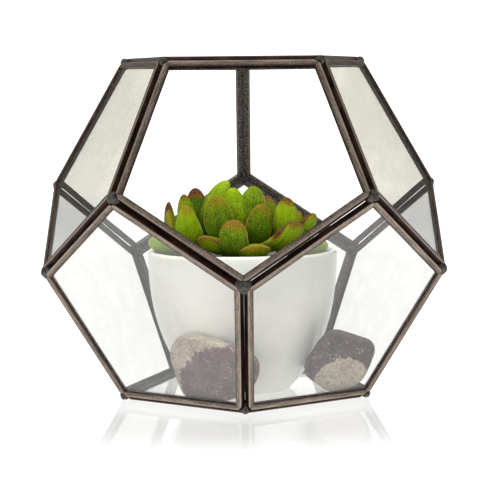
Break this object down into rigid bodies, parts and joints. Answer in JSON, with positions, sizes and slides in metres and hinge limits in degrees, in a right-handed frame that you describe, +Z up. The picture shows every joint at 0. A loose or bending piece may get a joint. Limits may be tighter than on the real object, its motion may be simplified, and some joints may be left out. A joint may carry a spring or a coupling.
{
  "type": "glass plant terrarium",
  "caption": "Dodecahedral glass terrarium in dark metal channel with one open front face, holding a white pot of succulents and pebbles.",
  "frame": {"origin": "middle of the bottom frame's underside, where the terrarium stands", "axes": "+Z up, the open doorway faces -Y, +X to the viewer's right"},
  "size_m": [0.1904, 0.2, 0.1629],
  "materials": {
    "patina": "folded brass channel with a dark brown patina, rubbed lighter on the edges",
    "solder": "dull dark grey blackened solder, lumpy",
    "glass": "clear 2 mm sheet glass with a faint grey-green tint",
    "glaze": "smooth glossy white glaze",
    "potting_mix": "dark crumbly bark and peat mix",
    "leaf": "fleshy satin leaf, lime green with red-brown tips",
    "pebble": "tumbled sandstone, purple-grey and beige"
  },
  "bodies": {
    "root": {"frame_bottom": "patina", "frame_top": "patina", "frame_lower_1": "patina", "frame_lower_2": "patina", "frame_lower_3": "patina", "frame_lower_4": "patina", "frame_lower_5": "patina", "frame_upper_1": "patina", "frame_upper_2": "patina", "frame_upper_3": "patina", "frame_upper_4": "patina", "frame_upper_5": "patina", "pane_bottom": "glass", "pane_top": "glass", "pane_lower_1": "glass", "pane_lower_2": "glass", "pane_lower_3": "glass", "pane_lower_4": "glass", "pane_lower_5": "glass", "pane_upper_2": "glass", "pane_upper_3": "glass", "pane_upper_4": "glass", "pane_upper_5": "glass", "solder_foot_1": "solder", "solder_foot_2": "solder", "solder_foot_3": "solder", "solder_foot_4": "solder", "solder_foot_5": "solder", "solder_low_1": "solder", "solder_low_2": "solder", "solder_low_3": "solder", "solder_low_4": "solder", "solder_low_5": "solder", "solder_high_1": "solder", "solder_high_2": "solder", "solder_high_3": "solder", "solder_high_4": "solder", "solder_high_5": "solder", "solder_top_1": "solder", "solder_top_2": "solder", "solder_top_3": "solder", "solder_top_4": "solder", "solder_top_5": "solder", "pot": "glaze", "potting_mix": "potting_mix", "succulent_left": "leaf", "succulent_middle": "leaf", "succulent_right": "leaf", "pebble_left": "pebble", "pebble_right": "pebble"}
  },
  "joints": []
}
